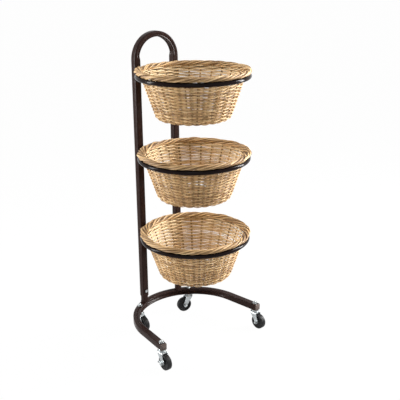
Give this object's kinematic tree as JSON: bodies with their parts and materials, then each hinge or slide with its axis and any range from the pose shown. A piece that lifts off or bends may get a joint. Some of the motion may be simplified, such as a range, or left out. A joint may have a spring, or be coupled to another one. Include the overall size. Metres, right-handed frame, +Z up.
{
  "type": "bakery bread rack",
  "caption": "Free-standing bread rack: round wicker baskets hang by braided rims in steel rings, one above another, on a square-tube hoop with a horseshoe base on swivel casters.",
  "frame": {"origin": "bottom centre of the bounding box, on the floor under the wheels", "axes": "+Z up along the uprights, -Y towards the open front of the horseshoe base, +X to the right as seen from the front"},
  "size_m": [0.519, 0.4546, 1.1635],
  "materials": {
    "brown_paint": "gloss dark brown powder coat",
    "black_paint": "gloss brown black paint",
    "zinc": "bright zinc plate",
    "rubber": "satin black",
    "plug": "matt moulded plastic",
    "wicker": "peeled willow, clear varnish"
  },
  "bodies": {
    "frame": {"base_tube": "brown_paint", "hoop": "brown_paint", "hoop_post_left": "brown_paint", "hoop_post_right": "brown_paint", "base_plug_left": "plug", "base_plug_right": "plug", "post_bolt_left": "zinc", "post_bolt_right": "zinc", "ring_top": "black_paint", "ring_plate_top": "black_paint", "ring_bolt_top_left": "zinc", "ring_nut_top_left": "zinc", "ring_bolt_top_right": "zinc", "ring_nut_top_right": "zinc", "ring_middle": "black_paint", "ring_plate_middle": "black_paint", "ring_bolt_middle_left": "zinc", "ring_nut_middle_left": "zinc", "ring_bolt_middle_right": "zinc", "ring_nut_middle_right": "zinc", "ring_bottom": "black_paint", "ring_plate_bottom": "black_paint", "ring_bolt_bottom_left": "zinc", "ring_nut_bottom_left": "zinc", "ring_bolt_bottom_right": "zinc", "ring_nut_bottom_right": "zinc", "caster_stem_front_left": "zinc", "caster_nut_front_left": "zinc", "caster_race_front_left": "zinc", "caster_stem_front_right": "zinc", "caster_nut_front_right": "zinc", "caster_race_front_right": "zinc", "caster_stem_rear_left": "zinc", "caster_nut_rear_left": "zinc", "caster_race_rear_left": "zinc", "caster_stem_rear_right": "zinc", "caster_nut_rear_right": "zinc", "caster_race_rear_right": "zinc"},
    "basket_top": {"basket_top": "wicker"},
    "basket_middle": {"basket_middle": "wicker"},
    "basket_bottom": {"basket_bottom": "wicker"},
    "caster_front_left": {"caster_fork_front_left": "zinc", "caster_axle_front_left": "zinc"},
    "wheel_front_left": {"caster_wheel_front_left": "rubber"},
    "caster_front_right": {"caster_fork_front_right": "zinc", "caster_axle_front_right": "zinc"},
    "wheel_front_right": {"caster_wheel_front_right": "rubber"},
    "caster_rear_left": {"caster_fork_rear_left": "zinc", "caster_axle_rear_left": "zinc"},
    "wheel_rear_left": {"caster_wheel_rear_left": "rubber"},
    "caster_rear_right": {"caster_fork_rear_right": "zinc", "caster_axle_rear_right": "zinc"},
    "wheel_rear_right": {"caster_wheel_rear_right": "rubber"},
    "brake_rocker": {"brake_rocker_front_left": "zinc"}
  },
  "joints": [
    {"name": "basket_lift_top", "type": "slide", "parent": "frame", "child": "basket_top", "axis": [0, 0, 1], "range_m": [0, 0.17]},
    {"name": "basket_lift_middle", "type": "slide", "parent": "frame", "child": "basket_middle", "axis": [0, 0, 1], "range_m": [0, 0.11]},
    {"name": "basket_lift_bottom", "type": "slide", "parent": "frame", "child": "basket_bottom", "axis": [0, 0, 1], "range_m": [0, 0.12]},
    {"name": "caster_swivel_front_left", "type": "hinge", "parent": "frame", "child": "caster_front_left", "pos_m": [-0.23442, -0.10965, 0.0651], "axis": [0, 0, 1], "continuous": true},
    {"name": "wheel_spin_front_left", "type": "hinge", "parent": "caster_front_left", "child": "wheel_front_left", "pos_m": [-0.23538, -0.13162, 0.02963], "axis": [0.999, -0.0436, 0], "continuous": true},
    {"name": "caster_swivel_front_right", "type": "hinge", "parent": "frame", "child": "caster_front_right", "pos_m": [0.23442, -0.10965, 0.0651], "axis": [0, 0, 1], "continuous": true},
    {"name": "wheel_spin_front_right", "type": "hinge", "parent": "caster_front_right", "child": "wheel_front_right", "pos_m": [0.23538, -0.13162, 0.02963], "axis": [0.999, 0.0436, 0], "continuous": true},
    {"name": "caster_swivel_rear_left", "type": "hinge", "parent": "frame", "child": "caster_rear_left", "pos_m": [-0.12518, 0.17573, 0.0651], "axis": [0, 0, 1], "continuous": true},
    {"name": "wheel_spin_rear_left", "type": "hinge", "parent": "caster_rear_left", "child": "wheel_rear_left", "pos_m": [-0.12518, 0.15373, 0.02963], "axis": [1, 0, 0], "continuous": true},
    {"name": "caster_swivel_rear_right", "type": "hinge", "parent": "frame", "child": "caster_rear_right", "pos_m": [0.12518, 0.17573, 0.0651], "axis": [0, 0, 1], "continuous": true},
    {"name": "wheel_spin_rear_right", "type": "hinge", "parent": "caster_rear_right", "child": "wheel_rear_right", "pos_m": [0.10388, 0.18124, 0.02963], "axis": [-0.2504, -0.9681, 0], "continuous": true},
    {"name": "brake_rock", "type": "hinge", "parent": "caster_front_left", "child": "brake_rocker", "pos_m": [-0.23538, -0.13162, 0.02963], "axis": [0.999, -0.0436, 0], "range_deg": [-18, 18]}
  ]
}
